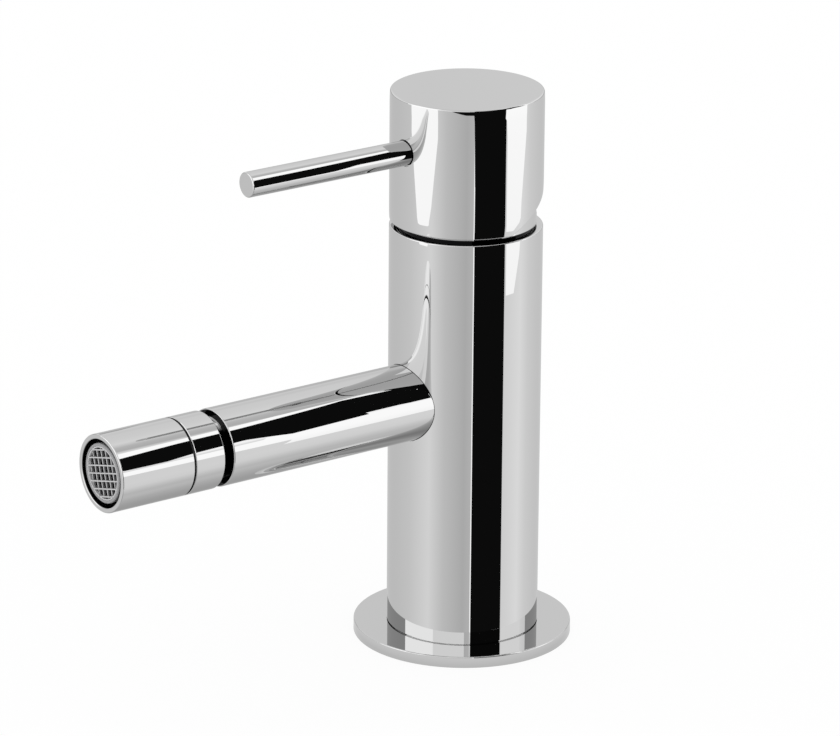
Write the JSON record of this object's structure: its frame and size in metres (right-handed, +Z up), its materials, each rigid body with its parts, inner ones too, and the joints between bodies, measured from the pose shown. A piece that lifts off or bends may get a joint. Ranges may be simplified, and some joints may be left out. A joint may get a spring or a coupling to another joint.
{
  "type": "bidet mixer",
  "caption": "Single-lever bidet mixer: round upright column on a flange, straight spout with a ball-jointed aerator, round cap handle with a pin lever.",
  "frame": {"origin": "centre of the flange's underside, on the column's axis, where the mixer stands on the bidet's deck", "axes": "+Z up along the column, -Y along the spout and the closed lever, +X to the right of a user who faces the spout from behind the column"},
  "size_m": [0.0576, 0.1421, 0.1488],
  "materials": {
    "polished_chrome": "polished chrome plate",
    "brass": "machined",
    "stainless_steel": "turned",
    "black_rubber": "matt",
    "ceramic": "lapped",
    "dark_plastic": "moulded",
    "pale_plastic": "moulded",
    "white_plastic": "moulded"
  },
  "bodies": {
    "mixer_body": {"body": "polished_chrome", "base_flange": "polished_chrome", "base_seal": "black_rubber", "flange_o_ring": "black_rubber", "spout_tube": "polished_chrome", "spout_o_ring": "black_rubber", "ball_stem": "polished_chrome", "ball_stem_o_ring": "black_rubber", "cartridge_cover": "polished_chrome", "cover_o_ring": "black_rubber", "cartridge_nut": "brass", "cartridge_housing": "dark_plastic", "cartridge_base": "dark_plastic", "base_port_seals": "black_rubber", "disc_seals": "black_rubber", "fixed_disc": "ceramic"},
    "rotor": {"cartridge_rotor": "dark_plastic", "stem_pin": "stainless_steel"},
    "handle": {"cartridge_stem": "brass", "stem_adapter": "dark_plastic", "handle_cap": "polished_chrome", "lever_pin": "polished_chrome", "grub_screw": "stainless_steel"},
    "disc_slide_body": {"disc_carrier": "white_plastic", "moving_disc": "ceramic"},
    "seal_link": {"ball_seal": "black_rubber"},
    "friction_link": {"friction_ring": "white_plastic"},
    "aerator": {"swivel_ring": "polished_chrome", "aerator_sleeve": "polished_chrome", "aerator_gasket": "black_rubber", "aerator_cage": "pale_plastic", "aerator_grid": "pale_plastic", "flow_disc": "white_plastic", "strainer": "white_plastic"}
  },
  "joints": [
    {"name": "handle_turn", "type": "hinge", "parent": "mixer_body", "child": "rotor", "pos_m": [0, 0, 0.1129], "axis": [0, 0, 1], "range_deg": [-50, 50]},
    {"name": "handle_lift", "type": "hinge", "parent": "rotor", "child": "handle", "pos_m": [0, 0, 0.1129], "axis": [-1, 0, 0], "range_deg": [0, 25]},
    {"name": "disc_slide", "type": "slide", "parent": "rotor", "child": "disc_slide_body", "axis": [0, -1, 0], "range_m": [0, 0.00466]},
    {"name": "aerator_pan", "type": "hinge", "parent": "mixer_body", "child": "seal_link", "pos_m": [0, -0.0847, 0.0673], "axis": [0, 0, 1], "range_deg": [-10, 10]},
    {"name": "aerator_tilt", "type": "hinge", "parent": "seal_link", "child": "friction_link", "pos_m": [0, -0.0847, 0.0673], "axis": [1, 0, 0], "range_deg": [-10, 10]},
    {"name": "aerator_spin", "type": "hinge", "parent": "friction_link", "child": "aerator", "pos_m": [0, -0.0847, 0.0673], "axis": [0, -1, 0], "continuous": true}
  ],
  "couplings": [
    {"joint": "disc_slide", "follows": "handle_lift", "m_per_rad": 0.010654}
  ]
}
